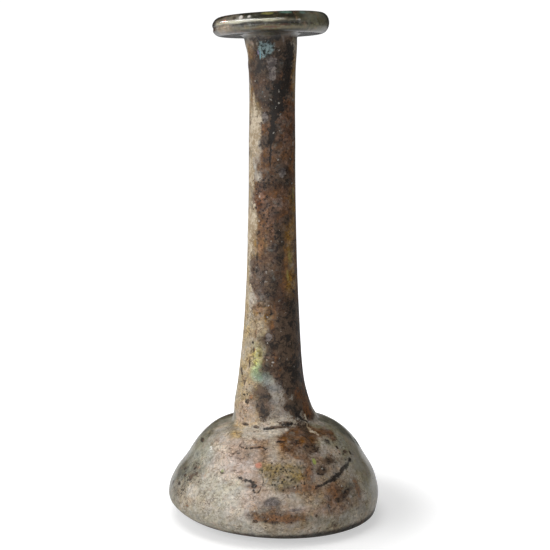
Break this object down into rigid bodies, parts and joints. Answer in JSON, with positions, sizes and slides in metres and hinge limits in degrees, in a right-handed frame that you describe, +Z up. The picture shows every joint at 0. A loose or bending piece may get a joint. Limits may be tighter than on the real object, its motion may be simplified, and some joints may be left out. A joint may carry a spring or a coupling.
{
  "type": "glass unguentarium",
  "caption": "Ancient free-blown glass perfume bottle with a squat bell-shaped body, long tapering neck and broad folded rim, weathered.",
  "frame": {"origin": "middle of the bounding box at the level of the foot", "axes": "+Z up along the neck, +X to the right and -Y towards the viewer of the picture"},
  "size_m": [0.071, 0.071, 0.1656],
  "materials": {
    "weathered_glass": "weathered, with an opaque enamel-like crust and glossy olive glass at the rim"
  },
  "bodies": {
    "root": {"unguentarium": "weathered_glass"}
  },
  "joints": []
}
